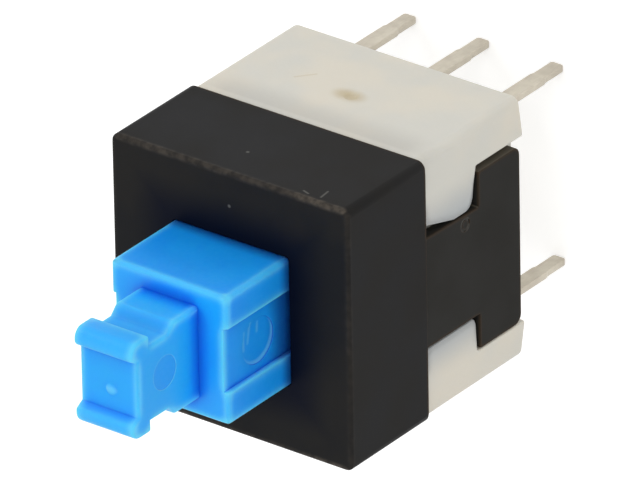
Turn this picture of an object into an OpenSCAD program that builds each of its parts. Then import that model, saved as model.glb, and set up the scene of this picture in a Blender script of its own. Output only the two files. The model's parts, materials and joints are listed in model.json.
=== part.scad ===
// Latching push button switch: two poles, six board pins, and a square stem with a tip for a cap.
// Z runs along the button, and Z = 0 is the face that seats on the board.
// The button is drawn released. Pressing moves it towards -Z.

/* [Case] */
// Width and depth of the square case
case_w = 8; // [8:0.1:8.8]
// Height of the case from the board to its front
case_h = 8; // [8:0.1:8.8]
// Height of the cover's band, which is closed all round
band_h = 3.5; // [3.3:0.1:3.7]
// Wall thickness of the band
band_wall = 0.6; // [0.5:0.05:0.65]
// Thickness of the cover's front
front_t = 0.8; // [0.6:0.05:0.8]
// Radius of the cover's upright corners
cover_r = 0.25; // [0.15:0.05:0.5]
// Bevel round the edge of the front
front_bevel = 0.07; // [0.05:0.01:0.2]

/* [Snap arms] */
// Thickness of an arm
arm_t = 0.4; // [0.3:0.05:0.45]
// Step from the band's face down to the arm's face
arm_step = 0.03; // [0.01:0.01:0.08]
// Width of an arm's neck, below the band
neck_w = 3.3; // [2.8:0.1:3.6]
// Width across the hook's two shoulders
hook_w = 5.44; // [4.8:0.02:5.5]
// Height of the hook's shoulders above the board
hook_top = 2.08; // [1.8:0.01:2.2]
// Height of the hook's foot above the board
hook_foot = 0.19; // [0.1:0.01:0.3]
// Radius of the hook's corners next to the board
hook_r = 0.28; // [0.1:0.02:0.3]
// How far the arms stand to one side of the middle
arm_shift = 0.08; // [0:0.01:0.1]

/* [Base] */
// Radius of the base's upright corners
base_r = 0.25; // [0.15:0.05:0.4]
// How far the base's arm sides lie inside the band's face
base_inset = 0.05; // [0.02:0.01:0.1]
// Thickness of the base's floor
floor_t = 1; // [0.8:0.05:1.1]
// Gap between a hook's shoulders and the tongues that hold them
hook_gap = 0.09; // [0.06:0.01:0.2]
// Smallest gap between a hook and the corner block beside it
block_gap = 0.04; // [0.03:0.01:0.12]
// Height of the spigot that enters the cover
spigot_h = 0.7; // [0.5:0.1:0.9]
// Diameter of the gate dimple on each long face
dimple_d = 0.5; // [0.4:0.02:0.9]

/* [Plunger] */
// Width of the square stem
stem_w = 3.9; // [3.6:0.05:4]
// How far the stem stands out of the case when released
stem_out = 2.75; // [2.5:0.05:3.5]
// Gap round the stem in the cover's window
stem_gap = 0.05; // [0.04:0.01:0.1]
// Full press, from released to the stop
travel = 2.2; // [1.8:0.05:2.2]
// Press at which the pin drops into the lock
lock_at = 1.6; // [1.4:0.05:1.6]
// Width of the panel sunk in two of the stem's faces
panel_w = 1.94; // [1.6:0.02:2.2]
// Depth of that panel
panel_t = 0.15; // [0.05:0.01:0.2]

/* [Tip] */
// Thickness of the tip, across the sunk panels
tip_w = 1.96; // [1.8:0.02:2.4]
// Length of the tip beyond the stem
tip_len = 2.94; // [2.8:0.02:3.2]
// Width of the head that a cap snaps over
head_w = 2.92; // [2.7:0.02:3.2]
// Length of the head
head_len = 0.82; // [0.75:0.01:0.95]
// Width of the neck behind the head
waist_w = 2.28; // [2:0.02:2.5]
// Width of the shoulder at the stem
shoulder_w = 2.82; // [2.7:0.02:3.2]
// Length of the shoulder
shoulder_len = 1.06; // [1:0.02:1.2]
// Radius of the head's outer corners
head_r = 0.34; // [0.2:0.02:0.36]
// Width of the groove across the tip's end, at its floor
groove_w = 1.66; // [1.4:0.02:1.8]
// Depth of that groove
groove_t = 0.27; // [0.2:0.01:0.4]

/* [Lock] */
// Diameter of the lock pin's wire
wire_d = 0.3; // [0.25:0.01:0.32]
// Distance from the pin's pivot to its cam leg
pin_reach = 2.3; // [2.2:0.05:2.4]
// Sideways swing of the cam leg over a full press
pin_sway = 0.8; // [0.7:0.02:0.84]
// Gap round the wire in the cam track and in its pivot
wire_gap = 0.05; // [0.04:0.01:0.07]

/* [Return spring] */
// Diameter of the spring's wire
spring_wire = 0.2; // [0.15:0.01:0.22]
// Outer diameter of the spring
spring_d = 2.2; // [1.9:0.05:2.3]
// Working turns of the spring
spring_turns = 7; // [5:1:9]

/* [Terminals] */
// Distance between neighbouring pins of a row
pin_pitch = 2.5; // [2.4:0.02:2.54]
// Distance between the two rows
row_pitch = 6; // [5.9:0.05:6.1]
// Width of a pin
pin_w = 0.5; // [0.4:0.02:0.6]
// Thickness of the terminal strip
pin_t = 0.2; // [0.15:0.01:0.25]
// Length of a pin below the board face
pin_len = 3.6; // [3:0.1:4]
// Width of a pin's narrowed end
pin_end_w = 0.42; // [0.3:0.02:0.48]
// Length of that end
pin_end_len = 0.85; // [0.5:0.05:1]

/* [Moving contacts] */
// Thickness of the contact strip
strip_t = 0.12; // [0.08:0.01:0.14]
// Width of a contact finger
finger_w = 0.6; // [0.4:0.05:0.7]
// Gap left between a finger's crest and the terminal it wipes
finger_gap = 0.04; // [0.02:0.01:0.08]

/* [Hidden] */
$fn = 48;
eps = 0.01;

cut = 1;

// Case
half_w = case_w / 2;
band_z = case_h - band_h;
cover_in = half_w - band_wall;
arm_out = half_w - arm_step;
arm_in = half_w - arm_t;
shoulder_r = 0.08;
neck_flare = 0.08;
gate_r = 0.2;
gate_wall = 0.07;
gate_t = 0.02;
gate_at = [1.29, 2.7];

// Base
base_x = half_w - base_inset;
lean_y = 2.95;
side_lean = 7.5;
well_x = half_w - 1.1;
well_y = row_pitch / 2 + pin_t / 2;
spigot_out = cover_in - 0.04;
spigot_r = 0.3;
pocket_x = arm_in - 0.03;
block_y = hook_w / 2 + arm_shift + block_gap;
tongue_z = hook_top + hook_gap;
tongue_y = neck_w / 2 + 0.06;
tongue_r = 0.26;
tongue_flare = 0.38;
flare_len = 1.33;
ease_t = 0.13;
ease_len = 0.45;
dimple_at = [0.09, 2.57];
dimple_t = 0.06;
post_r = 0.6;
post_h = 0.7;

// Plunger
stem_top = case_h + stem_out;
body_top = case_h - front_t - 0.05;
body_foot = floor_t + travel + 0.2;
body_x = well_x - 0.1;
body_y = 2.2;
stem_r = 0.12;
stem_bevel = 0.08;
groove_flare = 0.16;
stem_mark = [-0.05, stem_top - 1.55];
stem_mark_d = 1.4;
tip_mark = [0.07, stem_top + 1.5];
tip_mark_d = 1;
mark_t = 0.03;
nub_at = [0.08, -0.2];
nub_r = 0.22;
nub_h = 0.06;
cheek_x = 2.3;
channel_w = 2.5;
channel_top = body_top - 0.45;
spring_well_r = spring_d / 2 + 0.15;
spring_top = body_top - 0.95;
peg_r = 0.2;
peg_x = 1.3;
peg_h = 0.22;
peg_gap = 0.03;

// Lock: the pin swings about X at its pivot, and the track follows its cam leg
pivot_z = floor_t + 0.6;
track_z = pivot_z + pin_reach;
pin_x = cheek_x + 0.3;
wire_r = wire_d / 2;
bend_r = 0.3;
pivot_depth = 0.65;
pivot_hole = pin_x + pivot_depth + wire_gap - well_x;
leg_depth = 0.35;
track_r = wire_r + wire_gap;
track_depths = [0.4, 0.45, 0.5, 0.55];
track_sill = 0.36;
sway_deg = asin(pin_sway / pin_reach);
track_rise = travel - pin_reach * (1 - cos(sway_deg));

// Contacts
strip_foot = 4.94;
strip_h = 1;
peg_z = strip_foot + 0.55;
crest_r = 0.3;
crest_z = 4.3;
crest_y = row_pitch / 2 - pin_t / 2 - finger_gap - crest_r;
finger_x = 1.9;
strip_w = 2 * finger_x + finger_w;
pin_chamfer = 0.05;
pin_taper = 0.1;
open_top = 2.9;
closed_foot = 3.4;
pad_top = 5;
pad_in = 1.4;
common_w = 1.1;
riser_w = 0.35;

// ---- shared forms ----

// A rectangle with round corners, centred
module round_rect(w, d, r) {
    square([w - 2 * r, d], center = true);
    square([w, d - 2 * r], center = true);
    for (x = [-1, 1], y = [-1, 1])
        translate([x * (w / 2 - r), y * (d / 2 - r)]) circle(r);
}

// An upright block with round corners whose top edge is bevelled all round
module bevelled_block(w, d, h, r, b) {
    module side(across, along)
        rotate([90, 0, 90])
            linear_extrude(along, center = true)
                polygon([[-across / 2, 0], [across / 2, 0], [across / 2, h - b],
                         [across / 2 - b, h], [b - across / 2, h], [-across / 2, h - b]]);
    side(d, w - 2 * r);
    rotate([0, 0, 90]) side(w, d - 2 * r);
    for (x = [-1, 1], y = [-1, 1])
        translate([x * (w / 2 - r), y * (d / 2 - r), 0])
            rotate_extrude()
                polygon([[0, 0], [r, 0], [r, h - b], [r - b, h], [0, h]]);
}

// A flat slot of radius r from p to q
module slot(p, q, r) {
    run = q - p;
    translate(p) circle(r);
    translate(q) circle(r);
    translate(p)
        rotate(atan2(run.y, run.x))
            translate([0, -r]) square([norm(run), 2 * r]);
}

// Stands a flat form, drawn as Y and Z, upright at x and gives it a thickness towards +X
module stand_yz(x, t)
    translate([x, 0, 0]) rotate([90, 0, 90]) linear_extrude(t) children();

// Stands a flat form, drawn as X and Z, upright at y and gives it a thickness towards +Y
module stand_xz(y, t)
    translate([0, y + t, 0]) rotate([90, 0, 0]) linear_extrude(t) children();

// ---- cover ----

// Outline of one snap arm: a neck under the band and a hook with two shoulders
module arm_outline() {
    neck = neck_w / 2;
    hook = hook_w / 2;
    polygon([[-neck, hook_top - eps], [neck, hook_top - eps],
             [neck + neck_flare, band_z + eps], [-neck, band_z + eps]]);
    translate([-hook, hook_foot + hook_r])
        square([hook_w, hook_top - hook_foot - hook_r - shoulder_r]);
    translate([hook_r - hook, hook_foot]) square([hook_w - 2 * hook_r, hook_r + eps]);
    translate([shoulder_r - hook, hook_top - shoulder_r - eps])
        square([hook_w - 2 * shoulder_r, shoulder_r + eps]);
    for (side = [-1, 1]) {
        translate([side * (hook - hook_r), hook_foot + hook_r]) circle(hook_r);
        translate([side * (hook - shoulder_r), hook_top - shoulder_r]) circle(shoulder_r);
    }
}

module cover() color([0.16, 0.16, 0.165]) {
    window = stem_w + 2 * stem_gap;
    difference() {
        translate([0, 0, band_z]) bevelled_block(case_w, case_w, band_h, cover_r, front_bevel);
        translate([-cover_in, -cover_in, band_z - eps])
            cube([2 * cover_in, 2 * cover_in, band_h - front_t + eps]);
        translate([0, 0, case_h - front_t - eps])
            linear_extrude(front_t + 2 * eps) round_rect(window, window, stem_r);
    }
    difference() {
        for (side = [0, 180])
            rotate([0, 0, side])
                stand_yz(arm_in, arm_t - arm_step) translate([-arm_shift, 0]) arm_outline();
        // Ring left by the moulding gate
        translate([arm_out - gate_t, gate_at.x, gate_at.y])
            rotate([0, 90, 0])
                difference() {
                    cylinder(h = cut, r = gate_r);
                    cylinder(h = cut, r = gate_r - gate_wall);
                }
    }
}

// ---- base ----

// The base seen from above: its two arm sides lean in towards the corners
module base_outline() {
    y = half_w - base_r;
    x = base_x - (base_r + sin(side_lean) * (y - lean_y)) / cos(side_lean);
    touch = [x + base_r * cos(side_lean), y + base_r * sin(side_lean)];
    polygon([[base_x, -lean_y], [base_x, lean_y], touch, [x, half_w],
             [-x, half_w], [-touch.x, touch.y], [-base_x, lean_y], [-base_x, -lean_y],
             -touch, [-x, -half_w], [x, -half_w], [touch.x, -touch.y]]);
    for (side = [-1, 1], end = [-1, 1])
        translate([side * x, end * y]) circle(base_r);
}

// The pocket that takes one arm: wide at the foot, narrow between the two locking tongues
module arm_pocket() {
    low = -arm_shift - tongue_y;
    high = tongue_y - arm_shift;
    translate([-block_y, -eps]) square([2 * block_y, tongue_z + eps]);
    polygon([[low, tongue_z - eps], [high, tongue_z - eps], [high, band_z - flare_len],
             [high + tongue_flare, band_z + eps], [low, band_z + eps]]);
    // The tongues are rounded where they meet the neck and the hook
    difference() {
        translate([low - tongue_r, tongue_z - eps])
            square([high - low + 2 * tongue_r, tongue_r + eps]);
        translate([low - tongue_r, tongue_z + tongue_r]) circle(tongue_r);
        translate([high + tongue_r, tongue_z + tongue_r]) circle(tongue_r);
    }
}

// A tongue's corner falls away by a depth next to the neck, so that the arm springs in past it
module tongue_ease(inner, outer, depth) {
    slope = [1, depth / (inner - outer), -depth / ease_len];
    across = atan2(slope.y, slope.x);
    rise = atan2(slope.z, norm([slope.x, slope.y]));
    intersection() {
        translate([base_x - depth, inner, tongue_z])
            rotate([0, -rise, across])
                translate([0, -2 * cut, -cut]) cube([cut, 4 * cut, 2 * cut]);
        translate([base_x - cut, min(inner, outer), tongue_z - eps])
            cube([2 * cut, abs(outer - inner), ease_len + 2 * eps]);
    }
}

module base() color([0.83, 0.81, 0.76]) {
    difference() {
        union() {
            linear_extrude(band_z) base_outline();
            translate([0, 0, band_z - eps])
                linear_extrude(spigot_h + eps) round_rect(2 * spigot_out, 2 * spigot_out, spigot_r);
        }
        translate([-well_x, -well_y, floor_t])
            cube([2 * well_x, 2 * well_y, case_h]);
        for (side = [0, 180])
            rotate([0, 0, side]) {
                stand_yz(pocket_x, cut) arm_pocket();
                tongue_ease(tongue_y - arm_shift, block_y, ease_t);
                tongue_ease(-tongue_y - arm_shift, -block_y, ease_t / 2);
            }
        for (side = [-1, 1], row = [-1, 0, 1])
            translate([row * pin_pitch - pin_w / 2, side * row_pitch / 2 - pin_t / 2, -eps])
                cube([pin_w, pin_t, floor_t + 2 * eps]);
        for (side = [-1, 1])
            translate([dimple_at.x, side * half_w, dimple_at.y])
                rotate([-side * 90, 0, 0])
                    translate([0, 0, -dimple_t])
                        cylinder(h = dimple_t + eps, r1 = dimple_d / 4, r2 = dimple_d / 2);
        translate([well_x - eps, 0, pivot_z])
            rotate([0, 90, 0]) cylinder(h = pivot_hole + eps, r = track_r);
    }
    translate([0, 0, floor_t - eps]) cylinder(h = post_h + eps, r = post_r);
}

// ---- plunger ----

// End view of the tip, as Y and height above the stem
module tip_outline() {
    head_z = tip_len - head_len;
    ramp = (shoulder_w - waist_w) / 2;
    translate([-shoulder_w / 2, -eps]) square([shoulder_w, shoulder_len + eps]);
    polygon([[-shoulder_w / 2, shoulder_len], [shoulder_w / 2, shoulder_len],
             [waist_w / 2, shoulder_len + ramp], [-waist_w / 2, shoulder_len + ramp]]);
    translate([-waist_w / 2, 0]) square([waist_w, head_z + head_r]);
    difference() {
        union() {
            translate([-head_w / 2, head_z]) square([head_w, head_len - head_r]);
            translate([head_r - head_w / 2, head_z]) square([head_w - 2 * head_r, head_len]);
            for (side = [-1, 1])
                translate([side * (head_w / 2 - head_r), tip_len - head_r]) circle(head_r);
        }
        polygon([[-groove_w / 2, tip_len - groove_t], [groove_w / 2, tip_len - groove_t],
                 [groove_w / 2 + groove_flare, tip_len + eps],
                 [-groove_w / 2 - groove_flare, tip_len + eps]]);
    }
}

// One leg of the heart-shaped track, cut to a depth below the channel's floor
module track_leg(p, q, depth)
    stand_yz(cheek_x - depth, depth + eps)
        translate([0, track_z]) slot(p, q, track_r);

// The pin climbs one flank while pressed, drops into the notch, and comes back down the other flank
module heart_track() {
    start = [0, 0];
    left = [-pin_sway, track_rise];
    right = [pin_sway, track_rise];
    notch = [0, lock_at];
    track_leg(start, left, track_depths[0]);
    track_leg(left, notch, track_depths[1]);
    track_leg(notch, right, track_depths[2]);
    intersection() {
        track_leg(right, start, track_depths[3]);
        rotate([90, 0, 0])
            linear_extrude(channel_w, center = true)
                polygon([[cheek_x - track_depths[3], track_z + track_rise + track_r],
                         [cheek_x - track_depths[3], track_z + track_rise - track_r],
                         [cheek_x - track_sill, track_z - track_r],
                         [cheek_x + 2 * eps, track_z - track_r],
                         [cheek_x + 2 * eps, track_z + track_rise + track_r]]);
    }
}

module plunger() color([0.13, 0.5, 0.86]) {
    difference() {
        union() {
            translate([-body_x, -body_y, body_foot])
                cube([2 * body_x, 2 * body_y, body_top - body_foot]);
            translate([0, 0, body_top - eps])
                bevelled_block(stem_w, stem_w, stem_top - body_top + eps, stem_r, stem_bevel);
            translate([0, 0, stem_top]) stand_yz(-tip_w / 2, tip_w) tip_outline();
        }
        translate([0, 0, body_foot - eps])
            cylinder(h = spring_top - body_foot + eps, r = spring_well_r);
        translate([cheek_x, -channel_w / 2, body_foot - eps])
            cube([body_x - cheek_x + eps, channel_w, channel_top - body_foot + eps]);
        for (side = [0, 180])
            rotate([0, 0, side])
                translate([stem_w / 2 - panel_t, -panel_w / 2, body_top])
                    cube([panel_t + eps, panel_w, stem_top - body_top + eps]);
        // Round marks left by the mould's ejector pins
        translate([stem_w / 2 - panel_t - mark_t, stem_mark.x, stem_mark.y])
            rotate([0, 90, 0]) cylinder(h = cut, d = stem_mark_d);
        translate([tip_w / 2 - mark_t, tip_mark.x, tip_mark.y])
            rotate([0, 90, 0]) cylinder(h = cut, d = tip_mark_d);
        heart_track();
    }
    // Stub of the moulding gate, in the groove across the tip
    translate([nub_at.x, nub_at.y, stem_top + tip_len - groove_t - eps])
        cylinder(h = nub_h, r1 = nub_r, r2 = nub_r / 2);
    for (side = [-1, 1], x = [-peg_x, peg_x])
        translate([x, side * body_y, peg_z])
            rotate([-side * 90, 0, 0]) cylinder(h = peg_h, r = peg_r);
}

// ---- spring and lock pin ----

module return_spring() {
    sides = 8;
    steps = 16;
    all_turns = spring_turns + 2;
    rings = steps * all_turns;
    wire = spring_wire / 2;
    mean_r = spring_d / 2 - wire;
    foot = floor_t + wire;
    stretch = spring_top - floor_t - 4 * spring_wire;
    // The first and last turns lie flat against the floor and the plunger
    function rise(turn) = foot + spring_wire * (min(turn, 1) + max(turn - all_turns + 1, 0))
        + (stretch + spring_wire) * min(max(turn - 1, 0), spring_turns) / spring_turns;
    points = [for (i = [0:rings], k = [0:sides - 1])
        let (turn = 360 * i / steps, a = 360 * k / sides, r = mean_r + wire * cos(a))
            [r * cos(turn), r * sin(turn), rise(i / steps) + wire * sin(a)]];
    skin = [for (i = [0:rings - 1], k = [0:sides - 1])
        let (a = i * sides, n = (k + 1) % sides)
            [a + k, a + sides + k, a + sides + n, a + n]];
    caps = [[for (k = [0:sides - 1]) k], [for (k = [sides - 1:-1:0]) rings * sides + k]];
    color([0.75, 0.76, 0.78]) polyhedron(points, concat(caps, skin), convexity = 10);
}

// A quarter turn of wire about Y, from +X round to +Z
module wire_elbow()
    rotate([90, 0, 0]) rotate_extrude(angle = 90) translate([bend_r, 0]) circle(wire_r);

// A straight run of wire from a point on the plane Y = 0
module wire_run(x, z, h, tilt)
    translate([x, 0, z]) rotate([0, tilt, 0]) cylinder(h = h, r = wire_r);

module lock_pin() color([0.7, 0.71, 0.73]) {
    wire_run(pin_x, pivot_z + bend_r, pin_reach - 2 * bend_r, 0);
    wire_run(pin_x + bend_r, pivot_z, pivot_depth - bend_r, 90);
    wire_run(cheek_x - leg_depth, track_z, leg_depth + pin_x - cheek_x - bend_r, 90);
    translate([pin_x + bend_r, 0, pivot_z + bend_r]) rotate([0, 180, 0]) wire_elbow();
    translate([pin_x - bend_r, 0, track_z - bend_r]) wire_elbow();
}

// ---- contacts ----

// Side view of one finger, as Y and Z: it leaves the strip at 45 degrees and curls over its crest
module finger_outline() {
    middle = crest_r - strip_t / 2;
    leave = [crest_y + middle * cos(45), crest_z + middle * sin(45)];
    root = [body_y + strip_t / 2, leave.y + leave.x - body_y - strip_t / 2];
    slot(root, leave, strip_t / 2);
    translate([crest_y, crest_z])
        difference() {
            circle(crest_r);
            circle(crest_r - strip_t);
            rotate(45) translate([-cut, 0]) square([cut, cut]);
            rotate(170) square([cut, cut]);
        }
}

module slide_contact(side) color([0.8, 0.64, 0.35]) {
    mirror([0, side < 0 ? 1 : 0, 0]) {
        difference() {
            translate([-strip_w / 2, body_y, strip_foot]) cube([strip_w, strip_t, strip_h]);
            for (x = [-peg_x, peg_x])
                translate([x, body_y - eps, peg_z])
                    rotate([-90, 0, 0]) cylinder(h = strip_t + 2 * eps, r = peg_r + peg_gap);
        }
        for (x = [-finger_x, 0, finger_x])
            stand_yz(x - finger_w / 2, finger_w) finger_outline();
    }
}

// One pin with its narrowed end, centred on X = 0, up to the top of the floor
module pin_outline() {
    w = pin_w / 2;
    e = pin_end_w / 2;
    step = pin_end_len - pin_len;
    polygon([[-w, floor_t], [-w, step + pin_taper], [-e, step],
             [-e, pin_chamfer - pin_len], [pin_chamfer - e, -pin_len],
             [e - pin_chamfer, -pin_len], [e, pin_chamfer - pin_len],
             [e, step], [w, step + pin_taper], [w, floor_t]]);
}

// kind is -1 for the pad wiped when released, 0 for the common pad, 1 for the pad wiped when pressed
module terminal(side, kind) color([0.78, 0.77, 0.74])
    stand_xz(side * row_pitch / 2 - pin_t / 2, pin_t) {
        edge = pin_pitch + pin_w / 2;
        translate([kind * pin_pitch, 0]) pin_outline();
        if (kind == 0)
            translate([-common_w / 2, floor_t - eps]) square([common_w, pad_top - floor_t + eps]);
        if (kind == 1)
            translate([pad_in, floor_t]) square([edge - pad_in, open_top - floor_t]);
        if (kind == -1) {
            translate([-edge, floor_t - eps]) square([riser_w, closed_foot - floor_t + 2 * eps]);
            translate([-edge, closed_foot]) square([edge - pad_in, pad_top - closed_foot]);
        }
    }

cover();
base();
plunger();
return_spring();
lock_pin();
slide_contact(1);  // slide_contact_a
slide_contact(-1);  // slide_contact_b
terminal(1, 0);  // terminal_a_common
terminal(1, -1);  // terminal_a_closed
terminal(1, 1);  // terminal_a_open
terminal(-1, 0);  // terminal_b_common
terminal(-1, -1);  // terminal_b_closed
terminal(-1, 1);  // terminal_b_open
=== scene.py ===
import json
import math
import bmesh
import bpy
from mathutils import Matrix, Vector


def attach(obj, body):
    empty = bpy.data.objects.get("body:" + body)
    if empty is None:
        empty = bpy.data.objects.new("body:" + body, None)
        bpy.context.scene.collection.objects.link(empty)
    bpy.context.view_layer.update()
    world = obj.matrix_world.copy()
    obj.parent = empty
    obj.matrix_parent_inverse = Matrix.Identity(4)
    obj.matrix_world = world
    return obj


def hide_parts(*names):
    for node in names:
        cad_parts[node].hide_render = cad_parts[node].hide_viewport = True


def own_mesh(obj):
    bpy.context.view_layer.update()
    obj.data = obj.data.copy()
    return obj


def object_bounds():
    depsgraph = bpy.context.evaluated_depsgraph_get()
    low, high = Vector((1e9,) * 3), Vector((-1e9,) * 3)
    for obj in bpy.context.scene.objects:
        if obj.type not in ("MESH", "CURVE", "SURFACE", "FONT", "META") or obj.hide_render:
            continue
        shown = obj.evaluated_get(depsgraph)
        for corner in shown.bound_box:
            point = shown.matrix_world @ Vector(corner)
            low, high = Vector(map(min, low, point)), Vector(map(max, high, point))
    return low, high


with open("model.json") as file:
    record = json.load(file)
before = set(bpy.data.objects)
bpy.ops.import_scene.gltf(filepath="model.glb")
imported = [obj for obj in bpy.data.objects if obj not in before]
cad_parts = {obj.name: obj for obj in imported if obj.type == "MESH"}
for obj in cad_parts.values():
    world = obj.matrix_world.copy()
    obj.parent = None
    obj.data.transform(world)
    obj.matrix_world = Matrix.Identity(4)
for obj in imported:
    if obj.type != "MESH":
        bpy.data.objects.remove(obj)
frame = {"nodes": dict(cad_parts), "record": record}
cadLow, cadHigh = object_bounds()
mm = 0.001  # the dictionaries hold millimetres, and meshes are in metres
scene = bpy.context.scene
bodyOf = {name: body for body, names in frame["record"]["behaviour"]["bodies"].items()
          for name in names}
print("frame loaded:", len(frame["nodes"]), "pieces")


bendShades = (0.55, 0.98)  # the ambient shade along a bend, and on a flat face


class NodeBench:
    # adds nodes to one tree and joins them, so that a finish reads as a short recipe

    def __init__(self, tree):
        self.tree = tree
        self.column = 0

    def add(self, kind, inputs=None, **settings):
        made = self.tree.nodes.new(kind)
        self.column += 1
        made.location = (self.column * 180, 0)
        for key, value in settings.items():
            setattr(made, key, value)
        for key, value in (inputs or {}).items():
            self.feed(made.inputs[key], value)
        return made

    def feed(self, socket, value):
        if isinstance(value, bpy.types.NodeSocket):
            self.tree.links.new(value, socket)
        else:
            socket.default_value = value

    def calc(self, operation, a, b=0.0, clamp=False):
        return self.add("ShaderNodeMath", {0: a, 1: b}, operation=operation,
                        use_clamp=clamp).outputs[0]

    def times(self, first, *others):
        for other in others:
            first = self.calc("MULTIPLY", first, other)
        return first

    def less(self, a, b, clamp=True):
        return self.calc("SUBTRACT", a, b, clamp)

    def size(self, value):
        return self.calc("ABSOLUTE", value)

    def vector(self, operation, a, b=(0, 0, 0)):
        return self.add("ShaderNodeVectorMath", {0: a, 1: b}, operation=operation).outputs

    def split(self, value):
        return tuple(self.add("ShaderNodeSeparateXYZ", {0: value}).outputs)

    def noise(self, place, size, detail=2.0, roughness=0.5):
        return self.add("ShaderNodeTexNoise", {"Vector": place, "Scale": 1 / size, "Detail": detail,
                                               "Roughness": roughness}).outputs["Fac"]

    def ease(self, value, low, high, bottom=0.0, top=1.0):
        return self.add("ShaderNodeMapRange", {"Value": value, "From Min": low, "From Max": high,
                                               "To Min": bottom, "To Max": top},
                        interpolation_type="SMOOTHSTEP").outputs[0]

    def fade(self, value, low, high, share=1.0):
        return self.ease(value, low, high, share, 0.0)

    def blend(self, share, a, b):
        mix = self.add("ShaderNodeMix", data_type="RGBA")
        for socket, value in ((0, share), (6, a), (7, b)):  # factor, and the two colours
            self.feed(mix.inputs[socket], value)
        return mix.outputs[2]

    def spot(self, place, centre, radius, soft, stretch=(1, 1, 1)):
        # 1 inside a ball round centre, fading over soft; stretch above 1 narrows it along an axis
        away = self.vector("SUBTRACT", place, centre)[0]
        scaled = self.vector("MULTIPLY", away, stretch)[0]
        return self.fade(self.vector("LENGTH", scaled)[1], radius, radius + soft)

    def scratch(self, place, start, end, width):
        # 1 on the line from start to end, fading over its width
        run = Vector(end) - Vector(start)
        away = self.vector("SUBTRACT", place, start)[0]
        along = self.vector("DOT_PRODUCT", away, tuple(run / run.length_squared))[1]
        nearest = self.add("ShaderNodeVectorMath",
                           {0: tuple(run), "Scale": self.calc("ADD", along, 0.0, True)},
                           operation="SCALE").outputs[0]
        return self.fade(self.vector("DISTANCE", away, nearest)[1], 0.0, width)

    def bend(self, reach, inside):
        # 1 along an outer edge (inside) or an inner corner (not inside), 0 beyond reach of it
        seen = self.add("ShaderNodeAmbientOcclusion", {"Distance": reach * mm}, samples=8,
                        inside=inside, only_local=True).outputs["AO"]
        return self.fade(seen, *bendShades)


def rgb(red, green, blue):
    # a display colour, 0 to 255, as the linear colour that a shader takes
    def linear(value):
        value /= 255
        return value / 12.92 if value <= 0.04045 else ((value + 0.055) / 1.055) ** 2.4
    return (linear(red), linear(green), linear(blue), 1.0)


white = (1, 1, 1, 1)
cameraView = {"lens": 900, "sensor": 36, "clipFrom": 50, "clipTo": 3000, "distance": 434.2,
              "azimuth": 131.48, "elevation": 44.54, "roll": -122.85, "aim": (0.335, 0.465, 4.432)}
studio = {
    "fill": 0.8, "backdrop": 1.0,  # world strength on the part, and as the camera sees it
    "floorRadius": 600, "floorSides": 96, "floorColour": (0.82, 0.82, 0.82), "floorGlow": 0.46,
    "floorRoughness": 0.9, "speckleSize": 0.8, "speckleDarker": 0.97,
}
lamps = {
    "keyLamp": {"azimuth": 150, "elevation": 40, "distance": 320, "size": 180, "power": 0.15},
    "topLamp": {"azimuth": 60, "elevation": 75, "distance": 320, "size": 200, "power": 0.12},
    "rimLamp": {"azimuth": 218, "elevation": 27, "distance": 320, "size": 90, "power": 0.08},
}


def lookFrom(azimuth, elevation):
    # direction from the part to a viewer: azimuth 0 looks along +Y, 90 along -X
    turn, rise = math.radians(azimuth), math.radians(elevation)
    return Vector((math.sin(turn) * math.cos(rise), -math.cos(turn) * math.cos(rise),
                   math.sin(rise)))


def makeCamera():
    data = bpy.data.cameras.new("partCamera")
    camera = bpy.data.objects.new("partCamera", data)
    scene.collection.objects.link(camera)
    data.lens, data.sensor_width = cameraView["lens"], cameraView["sensor"]
    data.clip_start, data.clip_end = cameraView["clipFrom"] * mm, cameraView["clipTo"] * mm
    back = lookFrom(cameraView["azimuth"], cameraView["elevation"])
    level = Vector((0, 0, 1)).cross(back).normalized()
    rise = back.cross(level)
    roll = math.radians(cameraView["roll"])
    right = level * math.cos(roll) + rise * math.sin(roll)
    turned = Matrix((right, back.cross(right), back)).transposed()
    stand = (Vector(cameraView["aim"]) + back * cameraView["distance"]) * mm
    camera.matrix_world = Matrix.Translation(stand) @ turned.to_4x4()
    scene.camera = camera


def makeLamps():
    for name, lamp in lamps.items():
        data = bpy.data.lights.new(name, "AREA")
        data.shape, data.size, data.energy = "DISK", lamp["size"] * mm, lamp["power"]
        lampObject = bpy.data.objects.new(name, data)
        scene.collection.objects.link(lampObject)
        away = lookFrom(lamp["azimuth"], lamp["elevation"])
        lampObject.location = away * lamp["distance"] * mm
        lampObject.rotation_mode = "QUATERNION"
        lampObject.rotation_quaternion = (-away).to_track_quat("-Z", "Y")
        lampObject.visible_camera = False


def seesGround(bench):
    # 1 for the camera's own rays and for those that gloss or glass sends on
    ray = bench.add("ShaderNodeLightPath").outputs
    passedOn = bench.calc("MAXIMUM", ray["Is Glossy Ray"], ray["Is Transmission Ray"])
    return bench.calc("MAXIMUM", ray["Is Camera Ray"], passedOn)


def makeWorld():
    world = bpy.data.worlds.new("studioWorld")
    scene.world = world
    world.use_nodes = True
    world.node_tree.nodes.clear()
    bench = NodeBench(world.node_tree)
    fill, backdrop = (bench.add("ShaderNodeBackground", {"Color": white, "Strength": studio[key]})
                      .outputs[0] for key in ("fill", "backdrop"))
    mixed = bench.add("ShaderNodeMixShader", {0: seesGround(bench), 1: fill, 2: backdrop})
    bench.add("ShaderNodeOutputWorld", {"Surface": mixed.outputs[0]})


scene.view_settings.view_transform = "Standard"
makeCamera()
makeLamps()
makeWorld()
print("camera and light ready")


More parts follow.
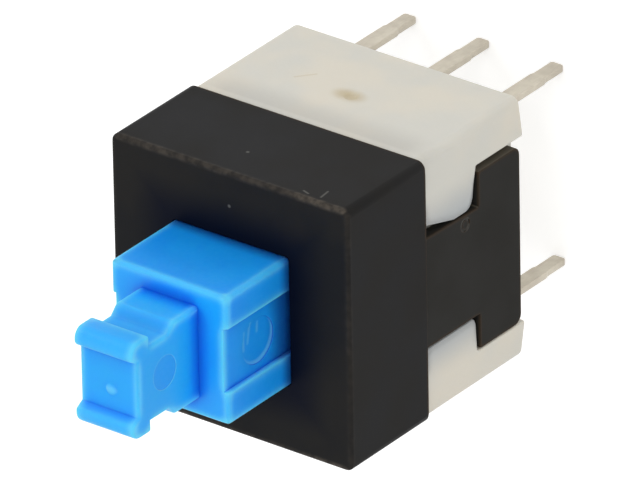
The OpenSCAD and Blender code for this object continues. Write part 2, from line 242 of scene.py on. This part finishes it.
def newFinish(name, **shader):
    # a material whose constant values sit on the shader's own sockets
    material = bpy.data.materials.new(name)
    material.use_nodes = True
    bench = NodeBench(material.node_tree)
    surface = material.node_tree.nodes["Principled BSDF"]
    for key, value in shader.items():
        surface.inputs[key].default_value = value
    objectSpace = bench.add("ShaderNodeTexCoord").outputs["Object"]
    place = bench.add("ShaderNodeMapping", {"Vector": objectSpace,
                                            "Scale": (1 / mm,) * 3}).outputs[0]
    return material, bench, surface, place


def newGlowingPlastic(name, look):
    # moulded plastic that lets light in a little below its surface
    return newFinish(name, **{"Specular IOR Level": look["gloss"],
                              "Subsurface Weight": look["glow"],
                              "Subsurface Radius": look["glowColour"],
                              "Subsurface Scale": look["glowDepth"] * mm})


def coat(bench, surface, look, tone, sheen, grain):
    # the last steps of every finish: colour, roughness that follows sheen, and bump from grain
    bench.feed(surface.inputs["Base Color"], tone)
    bench.feed(surface.inputs["Roughness"], bench.ease(sheen, 0.3, 0.7, *look["roughness"]))
    strength, height = look["bump"]
    bump = bench.add("ShaderNodeBump", {"Strength": strength, "Distance": height * mm,
                                        "Height": grain})
    bench.feed(surface.inputs["Normal"], bump.outputs[0])


def near(place, centre, reach):
    # True inside a box round centre that goes out by reach along each axis
    return all(abs(a - b) < far for a, b, far in zip(place, centre, reach))


# angles in degrees; facing is the least cosine between a flat face and the way it looks
meshSettings = {"mergeWithin": 0.0005, "faceWithin": 0.002, "facing": 0.999, "flatAngle": 0.4,
                "bevelAngle": 20, "sharpAngle": 50, "flatWeight": 80}


def link(name, mesh):
    made = bpy.data.objects.new(name, mesh)
    scene.collection.objects.link(made)
    return made


def takeResult(piece):
    # the result of a piece's modifiers as a plain mesh; the modifiers are removed
    evaluated = piece.evaluated_get(bpy.context.evaluated_depsgraph_get())
    mesh = bpy.data.meshes.new_from_object(evaluated)
    piece.modifiers.clear()
    return mesh


def finishPiece(piece, nodeName, slotName):
    piece.data.materials.clear()
    piece.data.materials.append(finishes[slotName])
    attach(piece, bodyOf[nodeName])
    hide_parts(nodeName)


def mergedCopy(nodeName, cuts):
    # a clean copy of a node: its flat faces are joined, and a face with a hole in it is divided
    # by a cut through the hole, so that every bevel meets a square corner
    form = bmesh.new()
    form.from_mesh(frame["nodes"][nodeName].data)
    gap, within = meshSettings["mergeWithin"] * mm, meshSettings["faceWithin"] * mm
    bmesh.ops.remove_doubles(form, verts=form.verts, dist=gap)
    for facing, faceAt, cutAxis, cutAt in cuts:
        across = Vector([cutAxis == other for other in "xyz"])
        outward = Vector([facing[1] == other for other in "xyz"]) * (1 if facing[0] == "+" else -1)
        flat = [face for face in form.faces if face.normal.dot(outward) > meshSettings["facing"]
                and abs(face.calc_center_median().dot(outward) - faceAt * mm) < within]
        around = {part for face in flat for part in (*face.verts, *face.edges, face)}
        made = bmesh.ops.bisect_plane(form, geom=list(around), dist=gap,
                                      plane_co=across * cutAt * mm, plane_no=across)
        for part in made["geom_cut"]:
            if isinstance(part, bmesh.types.BMEdge):
                part.seam = True
    bmesh.ops.dissolve_limit(form, angle_limit=math.radians(meshSettings["flatAngle"]),
                             verts=form.verts, edges=form.edges, delimit={"SEAM"})
    mesh = bpy.data.meshes.new(nodeName + "Form")
    form.to_mesh(mesh)
    form.free()
    for stale in [a for a in mesh.attributes if a.name in ("custom_normal", "sharp_edge")]:
        mesh.attributes.remove(stale)
    return mesh


def sharpEdges(form, angle):
    return [edge for edge in form.edges
            if len(edge.link_faces) == 2 and edge.calc_face_angle() > math.radians(angle)]


def softenEdges(piece, edge, widthAt):
    # rounds each sharp edge by the width, in millimetres, that widthAt gives for its middle
    form = bmesh.new()
    form.from_mesh(piece.data)
    weight = form.edges.layers.float.new("bevel_weight_edge")
    for sharp in sharpEdges(form, meshSettings["bevelAngle"]):
        middle = (sharp.verts[0].co + sharp.verts[1].co) / 2 / mm
        sharp[weight] = min(1, widthAt(middle, sharp.is_convex) / edge["widestEdge"])
    form.to_mesh(piece.data)
    form.free()
    bevel = piece.modifiers.new("edgeBreak", "BEVEL")
    bevel.width, bevel.segments = edge["widestEdge"] * mm, edge["segments"]
    bevel.limit_method = "WEIGHT"
    bevel.miter_outer = "MITER_ARC"
    bevel.use_clamp_overlap = False
    bevel.loop_slide = False
    piece.data = takeResult(piece)
    # the flat faces stay flat in the light, and only the rounded edges shade smoothly
    form = bmesh.new()
    form.from_mesh(piece.data)
    for face in form.faces:
        face.smooth = True
    for sharp in sharpEdges(form, meshSettings["sharpAngle"]):
        sharp.smooth = False
    form.to_mesh(piece.data)
    form.free()
    flatten = piece.modifiers.new("flatFaces", "WEIGHTED_NORMAL")
    flatten.weight, flatten.keep_sharp = meshSettings["flatWeight"], True
    piece.data = takeResult(piece)


# The cover. A cut is the way a flat face looks, where it lies, and the axis and place of the cut.
coverSettings = {
    "dark": rgb(29, 29, 30), "light": rgb(34, 33, 32), "cloudSize": 1.8, "ior": 1.14,
    "roughness": (0.44, 0.56), "bump": (0.6, 0.004), "grainSize": 0.05,
    # painted highlight and wear along the rim of the front, by distance from the middle plus height
    "rubbedAndHighlit": rgb(88, 81, 73), "rubRange": (11.79, 11.93), "rubTurn": 0.1, "rubOnXRim": 0.2,
    "unevennessSize": 0.22, "patchSize": 1.6,
    # the snap arms, a brownish painted highlight along their edges, and painted light on the sides
    # of their hooks
    "arm": rgb(38, 37, 34), "armTop": (4.46, 4.54), "armShare": 0.8,
    "brownHighlight": rgb(58, 45, 32), "brownTop": (4.58, 4.66), "brownReach": 0.12,
    "hookSideLight": rgb(88, 82, 72), "hookTop": (2.1, 2.2), "hookShare": 0.85,
    # a painted reflection: the dark blue that the front mirrors from the stem, round the window
    "stemReflection": rgb(4, 9, 26), "stemReach": (2.0, 3.4), "stemShare": 0.95, "front": (7.9, 7.99),
    # specks, scratches and the open ring left by the moulding gate
    "speck": rgb(88, 87, 84), "speckRadius": 0.02, "soft": 0.05,
    "specks": ((-0.27, 4, 6.78), (0, 2.96, 8), (4, 1.94, 4.31)),
    "scratches": (((2.30, 4, 7.69), (2.49, 4, 7.75)), ((2.90, 4, 7.72), (2.86, 4, 7.36))),
    "gate": (4, 1.29, 2.7), "gateOuter": 0.2, "gateInner": 0.11, "gateSoft": 0.04,
    "gateGap": (4, 1.33, 2.5), "gapRadius": 0.06,
    # widths of the rounded edges
    "widestEdge": 0.08, "segments": 3, "bandEdge": 0.05, "rimEdge": 0.03, "armEdge": 0.03,
    "stepEdge": 0.01, "windowEdge": 0.08,
    # where each of them begins
    "rimFrom": 7.85, "bandFrom": 4.6, "stepFrom": 4.4, "outerFace": 3.9, "armHalf": 2,
    "insideHalf": 3.58, "windowReach": 2.5, "windowCorner": 1.7, "gateReach": (0.1, 0.25, 0.25),
    "windowHalf": 2.0, "windowDrawnIn": 0.03, "windowMargin": 0.01,
    "cuts": (("+z", 8, "x", 0), ("+x", 3.97, "z", 2.7), ("-x", 3.97, "z", 2.7)),
}


def coverPlastic():
    look = coverSettings
    material, bench, surface, place = newFinish("coverPlastic", IOR=look["ior"])
    x, y, z = bench.split(place)
    wide, deep = bench.size(x), bench.size(y)
    reach = bench.calc("MAXIMUM", wide, deep)
    cloud = bench.noise(place, look["cloudSize"], 3)
    tone = bench.blend(bench.ease(cloud, 0.35, 0.65), look["dark"], look["light"])
    # the rim of the front is rubbed paler in patches, and more on its Y sides, with a painted
    # highlight along it as well
    side = bench.ease(bench.less(deep, wide, False), 0.0, look["rubTurn"], look["rubOnXRim"], 1.0)
    rubAndHighlight = bench.times(bench.ease(bench.calc("ADD", reach, z), *look["rubRange"]), side)
    unevenness = bench.ease(bench.noise(place, look["unevennessSize"], 4), 0.3, 0.7, 0.2, 0.8)
    patches = bench.ease(bench.noise(place, look["patchSize"], 1), 0.35, 0.6, 0.5, 1.0)
    tone = bench.blend(bench.times(rubAndHighlight, unevenness, patches), tone, look["rubbedAndHighlit"])
    # the arms are a little paler and warmer, and their edges carry a brownish painted highlight
    tone = bench.blend(bench.fade(z, *look["armTop"], look["armShare"]), tone, look["arm"])
    brownHighlight = bench.times(bench.bend(look["brownReach"], True), bench.fade(z, *look["brownTop"]))
    tone = bench.blend(brownHighlight, tone, look["brownHighlight"])
    # painted light: the sides of the hooks, shaded by the base beside them, are painted paler
    facing = bench.split(bench.add("ShaderNodeTexCoord").outputs["Normal"])
    hookSideLight = bench.times(bench.fade(z, *look["hookTop"], look["hookShare"]),
                           bench.ease(bench.size(facing[1]), 0.5, 0.9))
    tone = bench.blend(hookSideLight, tone, look["hookSideLight"])
    # painted reflection of the stem on the front, round the window
    blue = bench.times(bench.fade(reach, *look["stemReach"], look["stemShare"]),
                       bench.ease(z, *look["front"]))
    tone = bench.blend(blue, tone, look["stemReflection"])
    for speck in look["specks"]:
        dot = bench.spot(place, speck, look["speckRadius"], look["soft"])
        tone = bench.blend(dot, tone, look["speck"])
    for start, end in look["scratches"]:
        tone = bench.blend(bench.scratch(place, start, end, look["soft"]), tone, look["speck"])
    ring = bench.less(bench.spot(place, look["gate"], look["gateOuter"], look["gateSoft"]),
                      bench.spot(place, look["gate"], look["gateInner"], look["gateSoft"]))
    gap = bench.spot(place, look["gateGap"], look["gapRadius"], look["gapRadius"])
    tone = bench.blend(bench.times(bench.less(ring, gap), unevenness), tone, look["speck"])
    coat(bench, surface, look, tone, cloud, bench.noise(place, look["grainSize"], 3, 0.6))
    return material


def coverEdge(place, convex):
    edge = coverSettings
    x, y, z = abs(place[0]), abs(place[1]), place[2]
    if z > edge["rimFrom"]:
        return edge["rimEdge"]
    if max(x, y) < edge["windowReach"]:
        return edge["windowEdge"] if min(x, y) > edge["windowCorner"] and not convex else 0
    if max(x, y) < edge["insideHalf"] or near((x, y, z), edge["gate"], edge["gateReach"]):
        return 0
    if z > edge["bandFrom"]:
        return edge["bandEdge"]
    onStep = x > edge["outerFace"] and y < edge["armHalf"] and z > edge["stepFrom"]
    return edge["stepEdge"] if onStep else edge["armEdge"]


def closeWindow(mesh):
    # the window closes up round the stem to a fine dark line
    edge = coverSettings
    share = 1 - edge["windowDrawnIn"] / edge["windowHalf"]
    for vert in mesh.vertices:
        if max(abs(vert.co.x), abs(vert.co.y)) < (edge["windowHalf"] + edge["windowMargin"]) * mm:
            vert.co.x *= share
            vert.co.y *= share


baseSettings = {
    "cool": rgb(210, 208, 199), "warm": rgb(218, 212, 198), "cloudSize": 2.2,
    "gloss": 0.35, "glow": 0.12, "glowColour": (1.0, 0.8, 0.6), "glowDepth": 0.5,
    "roughness": (0.45, 0.58), "bump": (0.5, 0.003), "grainSize": 0.09,
    # painted shade on the tongues beside the snap arms, and on their thin rims
    "tongue": rgb(176, 180, 181), "tongueFace": (3.5, 3.8), "tongueSide": (1.7, 3.0),
    "tongueRimShade": rgb(134, 134, 134), "rimReach": 0.3, "rimSide": (2.3, 2.7), "rimShare": 0.6,
    "rimBottom": (2.1, 2.2),
    # the shade beside the cover, and the pale lip against it
    "nearCover": rgb(166, 163, 157), "shadeRise": (3.1, 4.25), "shadeShare": 0.42,
    "lipRise": (4.24, 4.32), "lipShare": 0.14, "shadeFace": (3.6, 4.0), "shadeEnd": (2.9, 3.6),
    "endShare": 0.4,
    # the stained dimple left by the moulding gate, and a scratch
    "stain": rgb(186, 168, 128), "dimple": (0.09, 4.0, 2.57), "haloRadius": 0.06, "haloSoft": 0.42,
    "haloStretch": (0.8, 1, 1.1), "haloShare": 0.7,
    "scratch": ((-1.86, 4, 2.55), (-1.47, 4, 2.08)), "scratchWidth": 0.06, "scratchShare": 0.35,
    # widths of the rounded edges, and where they apply
    "widestEdge": 0.06, "segments": 3, "fineEdge": 0.02, "floorTop": 0.5, "insideHalf": 3.5,
    "dimpleReach": (0.4, 0.1, 1.4), "slotDepth": 0.1, "slotsHalf": 3.5, "slotRow": (2.8, 3.2),
    "cuts": (("+y", 4, "x", 0.09), ("-y", 4, "x", 0.09), ("-z", 0, "y", 3), ("-z", 0, "y", -3)),
}


def basePlastic():
    look = baseSettings
    material, bench, surface, place = newGlowingPlastic("basePlastic", look)
    x, y, z = (bench.size(part) for part in bench.split(place))
    cloud = bench.ease(bench.noise(place, look["cloudSize"], 2), 0.35, 0.65)
    tone = bench.blend(cloud, look["cool"], look["warm"])
    # painted shade: the tongues grow darker and cooler towards the arm
    onTongue = bench.ease(x, *look["tongueFace"])
    tongueShade = bench.times(bench.fade(y, *look["tongueSide"]), onTongue)
    tone = bench.blend(tongueShade, tone, look["tongue"])
    # painted shade along the rims of the tongues
    tongueRimShade = bench.times(bench.bend(look["rimReach"], True), onTongue,
                      bench.fade(y, *look["rimSide"], look["rimShare"]),
                      bench.ease(z, *look["rimBottom"]))
    tone = bench.blend(tongueRimShade, tone, look["tongueRimShade"])
    shade = bench.less(bench.ease(z, *look["shadeRise"], 0.0, look["shadeShare"]),
                       bench.ease(z, *look["lipRise"], 0.0, look["lipShare"]))
    shade = bench.times(shade, bench.ease(y, *look["shadeFace"]),
                        bench.ease(x, *look["shadeEnd"], 1.0, look["endShare"]))
    tone = bench.blend(shade, tone, look["nearCover"])
    bothSides = bench.vector("ABSOLUTE", place)[0]
    halo = bench.spot(bothSides, look["dimple"], look["haloRadius"], look["haloSoft"],
                      look["haloStretch"])
    tone = bench.blend(bench.times(halo, look["haloShare"]), tone, look["stain"])
    mark = bench.scratch(place, *look["scratch"], look["scratchWidth"])
    tone = bench.blend(bench.times(mark, look["scratchShare"]), tone, look["stain"])
    grain = bench.noise(place, look["grainSize"], 2)
    coat(bench, surface, look, tone, grain, grain)
    return material


def baseEdge(place, convex):
    edge = baseSettings
    x, y, z = place
    if z > edge["floorTop"] and max(abs(x), abs(y)) < edge["insideHalf"]:
        return 0
    low, high = edge["slotRow"]
    onSlot = z < edge["slotDepth"] and abs(x) < edge["slotsHalf"] and low < abs(y) < high
    fine = onSlot or near((x, abs(y), z), edge["dimple"], edge["dimpleReach"])
    return edge["fineEdge"] if fine else edge["widestEdge"]


plungerSettings = {
    "deep": rgb(14, 152, 242), "light": rgb(22, 160, 248), "cloudSize": 1.3,
    "gloss": 0.3, "glow": 1.0, "glowColour": (0.4, 0.8, 1.0), "glowDepth": 0.5,
    "roughness": (0.36, 0.48), "bump": (0.5, 0.003), "grainSize": 0.12,
    "tip": rgb(20, 170, 254), "tipRise": (10.4, 10.72),
    # painted highlight along the outer edges
    "edge": rgb(98, 200, 255), "edgeReach": 0.32,
    # painted shade in the inner corners and in the sunk mark on the tip
    "corner": rgb(10, 114, 228), "cornerReach": 0.62,
    # the foot of the stem, where the cover keeps the light off, higher in the sunk panels
    "shadow": rgb(8, 58, 144), "shadowFrom": 7.95, "shadowTop": (8.45, 8.9), "shadowShare": 0.85,
    "panel": (1.9, 0, 8), "panelRadius": 0.9, "panelSoft": 0.15, "panelStretch": (1, 1, 0),
    # the sunk mark on the tip, and the ejector mark on the stem with a painted highlight in a
    # crescent on its rim and scuffs beside it
    "tipMark": (0.95, 0.07, 12.25), "tipMarkRadius": 0.42, "tipMarkShare": 0.22,
    "tipMarkStretch": (2, 1, 1),
    "stemMark": (1.8, -0.05, 9.2), "stemMarkRadius": 0.75, "markSoft": 0.1,
    "scuffAndHighlight": rgb(120, 206, 252), "crescentRadius": 0.66, "crescentEdge": 0.05,
    "crescentShare": 0.5, "cutOut": (1.8, 0.05, 9.27), "cutOutRadius": 0.62,
    "strokes": (((1.77, 0.43, 9.81), (1.77, -0.12, 9.8)), ((1.77, 0.6, 9.52), (1.77, 0.03, 9.62)),
                ((1.77, 0.49, 9.18), (1.77, 0.23, 9.2))), "strokeWidth": 0.08, "strokeShare": 0.4,
    # the stub of the gate on the tip's end
    "stub": (0.08, -0.2, 13.45), "stubRadius": 0.05, "stubSoft": 0.16,
    "stubStretch": (0.8, 1.4, 1), "stubShare": 0.55,
    # widths of the rounded edges, and where each begins
    "widestEdge": 0.09, "segments": 4, "stemEdge": 0.05, "stemTopEdge": 0.02, "panelEdge": 0.03,
    "stemFrom": 7.2, "stemTop": 10.72, "tipFrom": 10.8, "panelFace": 1.82, "panelHalf": 1.1,
    "tipMarkReach": (0.05, 0.52, 0.52), "stemMarkReach": (0.1, 0.72, 0.72),
    "stubReach": (0.3, 0.3, 0.15), "markFloor": 0.95, "markRaised": 0.966, "markFrom": 11.7,
    "cuts": (("+z", 10.75, "x", -0.98), ("+z", 10.75, "x", 0.98), ("+x", 1.8, "z", 9.2),
             ("+x", 0.98, "z", 12.25), ("+z", 13.42, "x", 0.08)),
}


def plungerPlastic():
    look = plungerSettings
    material, bench, surface, place = newGlowingPlastic("plungerPlastic", look)
    z = bench.split(place)[2]
    cloud = bench.ease(bench.noise(place, look["cloudSize"], 3), 0.3, 0.7)
    tone = bench.blend(cloud, look["deep"], look["light"])
    tone = bench.blend(bench.ease(z, *look["tipRise"]), tone, look["tip"])
    # painted shade in the inner corners
    tone = bench.blend(bench.bend(look["cornerReach"], False), tone, look["corner"])
    # painted shade in the sunk mark on the tip
    sunk = bench.spot(place, look["tipMark"], look["tipMarkRadius"], look["markSoft"],
                      look["tipMarkStretch"])
    tone = bench.blend(bench.times(sunk, look["tipMarkShare"]), tone, look["corner"])
    onMark = bench.spot(place, look["stemMark"], look["stemMarkRadius"], look["markSoft"])
    # painted highlight: the outer edges are paler, except on the ejector mark
    edge = bench.less(bench.bend(look["edgeReach"], True), onMark)
    tone = bench.blend(edge, tone, look["edge"])
    inPanel = bench.spot(place, look["panel"], look["panelRadius"], look["panelSoft"],
                         look["panelStretch"])
    top = bench.ease(inPanel, 0, 1, *look["shadowTop"])
    foot = bench.fade(z, look["shadowFrom"], top, look["shadowShare"])
    tone = bench.blend(foot, tone, look["shadow"])
    # the ejector mark has a painted highlight in a crescent on its rim and is scuffed on the other
    # side
    crescent = bench.less(
        bench.spot(place, look["stemMark"], look["crescentRadius"], look["crescentEdge"]),
        bench.spot(place, look["cutOut"], look["cutOutRadius"], look["markSoft"]))
    strokes = 0.0
    for start, end in look["strokes"]:
        stroke = bench.scratch(place, start, end, look["strokeWidth"])
        strokes = bench.calc("MAXIMUM", strokes, stroke)
    pale = bench.calc("ADD", bench.times(crescent, look["crescentShare"]),
                      bench.times(strokes, look["strokeShare"]), True)
    stub = bench.spot(place, look["stub"], look["stubRadius"], look["stubSoft"],
                      look["stubStretch"])
    pale = bench.calc("MAXIMUM", pale, bench.times(stub, look["stubShare"]))
    tone = bench.blend(pale, tone, look["scuffAndHighlight"])
    grain = bench.noise(place, look["grainSize"], 3)
    coat(bench, surface, look, tone, grain, grain)
    return material


def plungerEdge(place, convex):
    edge = plungerSettings
    x, y, z = place
    onMark = any(near(place, edge[mark], edge[mark + "Reach"])
                 for mark in ("tipMark", "stemMark", "stub"))
    if z < edge["stemFrom"] or not convex or onMark:
        return 0
    if z > edge["tipFrom"]:
        return edge["widestEdge"]
    if z > edge["stemTop"]:
        return edge["stemTopEdge"]
    onPanel = abs(x) < edge["panelFace"] or abs(y) < edge["panelHalf"]
    return edge["panelEdge"] if onPanel else edge["stemEdge"]


def levelTipMark(mesh):
    # the round mark on the tip is a faint one
    edge = plungerSettings
    for vert in mesh.vertices:
        onFloor = abs(vert.co.x / mm - edge["markFloor"]) < meshSettings["faceWithin"]
        if onFloor and vert.co.z > edge["markFrom"] * mm:
            vert.co.x = edge["markRaised"] * mm


# The terminals, contacts and spring, all drawn metal.
metalGrain = {"lineSize": 0.05, "lineStretch": (1, 1, 0.12), "cloudSize": 0.5}
terminalSettings = {
    "bright": rgb(198, 191, 176), "dull": rgb(184, 176, 162), "roughness": (0.28, 0.46),
    "bump": (0.5, 0.002), "cut": rgb(146, 132, 112), "cutHeight": 0.04, "cutShare": 0.8,
    "widestEdge": 0.025, "segments": 2, "cuts": (),
}
contactSettings = {"bright": rgb(222, 188, 112), "dull": rgb(184, 146, 78),
                   "roughness": (0.2, 0.38), "bump": (0.5, 0.002)}
springSettings = {
    "bright": rgb(198, 200, 203), "dull": rgb(150, 152, 156), "roughness": (0.22, 0.4),
    "bump": (0.5, 0.002),
    "wire": 0.2, "outer": 2.2, "turns": 7, "deadTurns": 2, "foot": 1.0, "top": 6.2, "press": 2.2,
    "stepsPerTurn": 40, "wireSides": 12,
}


def drawnMetal(name, look, cutBelow=None):
    # plated strip or wire, with fine lines along Z from rolling or drawing
    material, bench, surface, place = newFinish(name, Metallic=1.0)
    drawn = bench.vector("MULTIPLY", place, metalGrain["lineStretch"])[0]
    lines = bench.noise(drawn, metalGrain["lineSize"], 4, 0.6)
    cloud = bench.noise(place, metalGrain["cloudSize"], 3)
    tone = bench.blend(bench.ease(cloud, 0.3, 0.7), look["dull"], look["bright"])
    if cutBelow is not None:
        # the ends were cut after plating and show the bare metal
        bare = bench.fade(bench.split(place)[2], cutBelow, cutBelow + look["cutHeight"],
                          look["cutShare"])
        tone = bench.blend(bare, tone, look["cut"])
    coat(bench, surface, look, tone, lines, lines)
    return material


def terminalEdge(place, convex):
    return terminalSettings["widestEdge"]


def springTree():
    tree = bpy.data.node_groups.new("windSpring", "GeometryNodeTree")
    bench = NodeBench(tree)
    kinds = {"Float": ("Wire", "Outer", "Turns", "Foot", "Top"), "Int": ("Steps", "Sides"),
             "Material": ("Finish",)}
    for kind, names in kinds.items():
        for name in names:
            tree.interface.new_socket(name, in_out="INPUT", socket_type="NodeSocket" + kind)
    tree.interface.new_socket("Geometry", in_out="OUTPUT", socket_type="NodeSocketGeometry")
    given = bench.add("NodeGroupInput").outputs
    wire, turns, foot, top = (given[name] for name in ("Wire", "Turns", "Foot", "Top"))
    half = bench.times(wire, 0.5)
    radius = bench.less(bench.times(given["Outer"], 0.5), half, False)
    coil = bench.add("GeometryNodeCurveSpiral", {"Resolution": given["Steps"], "Rotations": turns,
                                                 "Start Radius": radius, "End Radius": radius,
                                                 "Height": top}).outputs[0]
    # the first and the last turn lie flat and rise by one wire each, and the turns between them
    # share what is left of the height
    factor = bench.add("GeometryNodeSplineParameter").outputs["Factor"]
    turn = bench.times(factor, turns)
    past = bench.calc("MAXIMUM", bench.less(turn, bench.less(turns, 1.0, False), False), 0.0)
    flat = bench.calc("ADD", bench.calc("MINIMUM", turn, 1.0), past)
    rise = bench.less(bench.less(top, foot, False), bench.times(wire, 3.0), False)
    share = bench.calc("DIVIDE", bench.less(turn, 1.0, False), bench.less(turns, 2.0, False), True)
    climb = bench.calc("ADD", bench.times(wire, flat), bench.times(rise, share))
    height = bench.calc("ADD", bench.calc("ADD", foot, half), climb)
    x, y, z = bench.split(bench.add("GeometryNodeInputPosition").outputs[0])
    lifted = bench.add("ShaderNodeCombineXYZ", {"X": x, "Y": y, "Z": height}).outputs[0]
    coil = bench.add("GeometryNodeSetPosition", {"Geometry": coil, "Position": lifted}).outputs[0]
    profile = bench.add("GeometryNodeCurvePrimitiveCircle", {"Resolution": given["Sides"],
                                                            "Radius": half}).outputs[0]
    body = bench.add("GeometryNodeCurveToMesh", {"Curve": coil, "Profile Curve": profile,
                                                 "Fill Caps": True}).outputs[0]
    smooth = bench.add("GeometryNodeSetShadeSmooth", {"Geometry": body}).outputs[0]
    whole = bench.add("GeometryNodeRealizeInstances", {"Geometry": smooth}).outputs[0]
    painted = bench.add("GeometryNodeSetMaterial", {"Geometry": whole,
                                                    "Material": given["Finish"]}).outputs[0]
    bench.add("NodeGroupOutput", {"Geometry": painted})
    return tree


def windSpring():
    coil = springSettings
    piece = link("returnSpringWound", bpy.data.meshes.new("returnSpringWound"))
    winding = piece.modifiers.new("windSpring", "NODES")
    winding.node_group = springTree()
    wanted = {"Wire": coil["wire"] * mm, "Outer": coil["outer"] * mm,
              "Turns": float(coil["turns"] + coil["deadTurns"]), "Foot": coil["foot"] * mm,
              "Top": coil["top"] * mm, "Steps": coil["stepsPerTurn"], "Sides": coil["wireSides"],
              "Finish": finishes["spring_wire"]}
    for item in winding.node_group.interface.items_tree:
        if item.in_out == "INPUT":
            winding[item.identifier] = wanted[item.name]
    piece.data = takeResult(piece)
    finishPiece(piece, "return_spring", "spring_wire")
    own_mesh(piece)
    print("spring wound:", len(piece.data.polygons), "faces")


finishes = {
    "cover_plastic": coverPlastic(),
    "base_plastic": basePlastic(),
    "plunger_plastic": plungerPlastic(),
    "spring_wire": drawnMetal("springWire", springSettings),
    "tinned_strip": drawnMetal("tinnedStrip", terminalSettings, cadLow.z / mm),
    "contact_strip": drawnMetal("contactStrip", contactSettings),
}
slotOf = {"cover": "cover_plastic", "base": "base_plastic", "plunger": "plunger_plastic",
          "return_spring": "spring_wire", "lock_pin": "spring_wire",
          "slide_contact_a": "contact_strip", "slide_contact_b": "contact_strip"}
for name in frame["nodes"]:
    slotOf.setdefault(name, "tinned_strip")
print("finishes ready:", len(finishes))


recipes = {"cover": (coverSettings, coverEdge, closeWindow),
           "base": (baseSettings, baseEdge, None),
           "plunger": (plungerSettings, plungerEdge, levelTipMark),
           "terminal": (terminalSettings, terminalEdge, None)}
for name in sorted(frame["nodes"]):
    recipe = recipes.get("terminal" if name.startswith("terminal") else name)
    if recipe is None:
        continue
    settings, widthAt, reshape = recipe
    piece = link(name + "Dressed", mergedCopy(name, settings["cuts"]))
    if reshape:
        reshape(piece.data)
    softenEdges(piece, settings, widthAt)
    finishPiece(piece, name, slotOf[name])
    print("dressed", name, len(piece.data.polygons), "faces")

windSpring()

# the lock pin and the slide contacts keep their own shapes
for name in ("lock_pin", "slide_contact_a", "slide_contact_b"):
    cad = frame["nodes"][name]
    cad.data.materials.clear()
    cad.data.materials.append(finishes[slotOf[name]])


def floorPaint():
    # pale, and white to the camera, with the shadow kept
    material, bench, surface, place = newFinish("floorPaint", Roughness=studio["floorRoughness"],
                                                **{"Specular IOR Level": 0.0})
    surface.inputs["Emission Color"].default_value = white
    pale = studio["floorColour"]
    darker = tuple(part * studio["speckleDarker"] for part in pale)
    speckle = bench.noise(place, studio["speckleSize"], 3)
    bench.feed(surface.inputs["Base Color"], bench.blend(speckle, (*darker, 1), (*pale, 1)))
    bench.feed(surface.inputs["Emission Strength"],
               bench.times(seesGround(bench), studio["floorGlow"]))
    return material


def makeFloor():
    mesh = bpy.data.meshes.new("floor")
    form = bmesh.new()
    bmesh.ops.create_circle(form, cap_ends=True, segments=studio["floorSides"],
                            radius=studio["floorRadius"] * mm)
    bmesh.ops.translate(form, verts=form.verts, vec=(0, 0, cadLow.z))
    form.to_mesh(mesh)
    form.free()
    mesh.materials.append(floorPaint())
    link("floor", mesh)


makeFloor()
print("pieces ready")
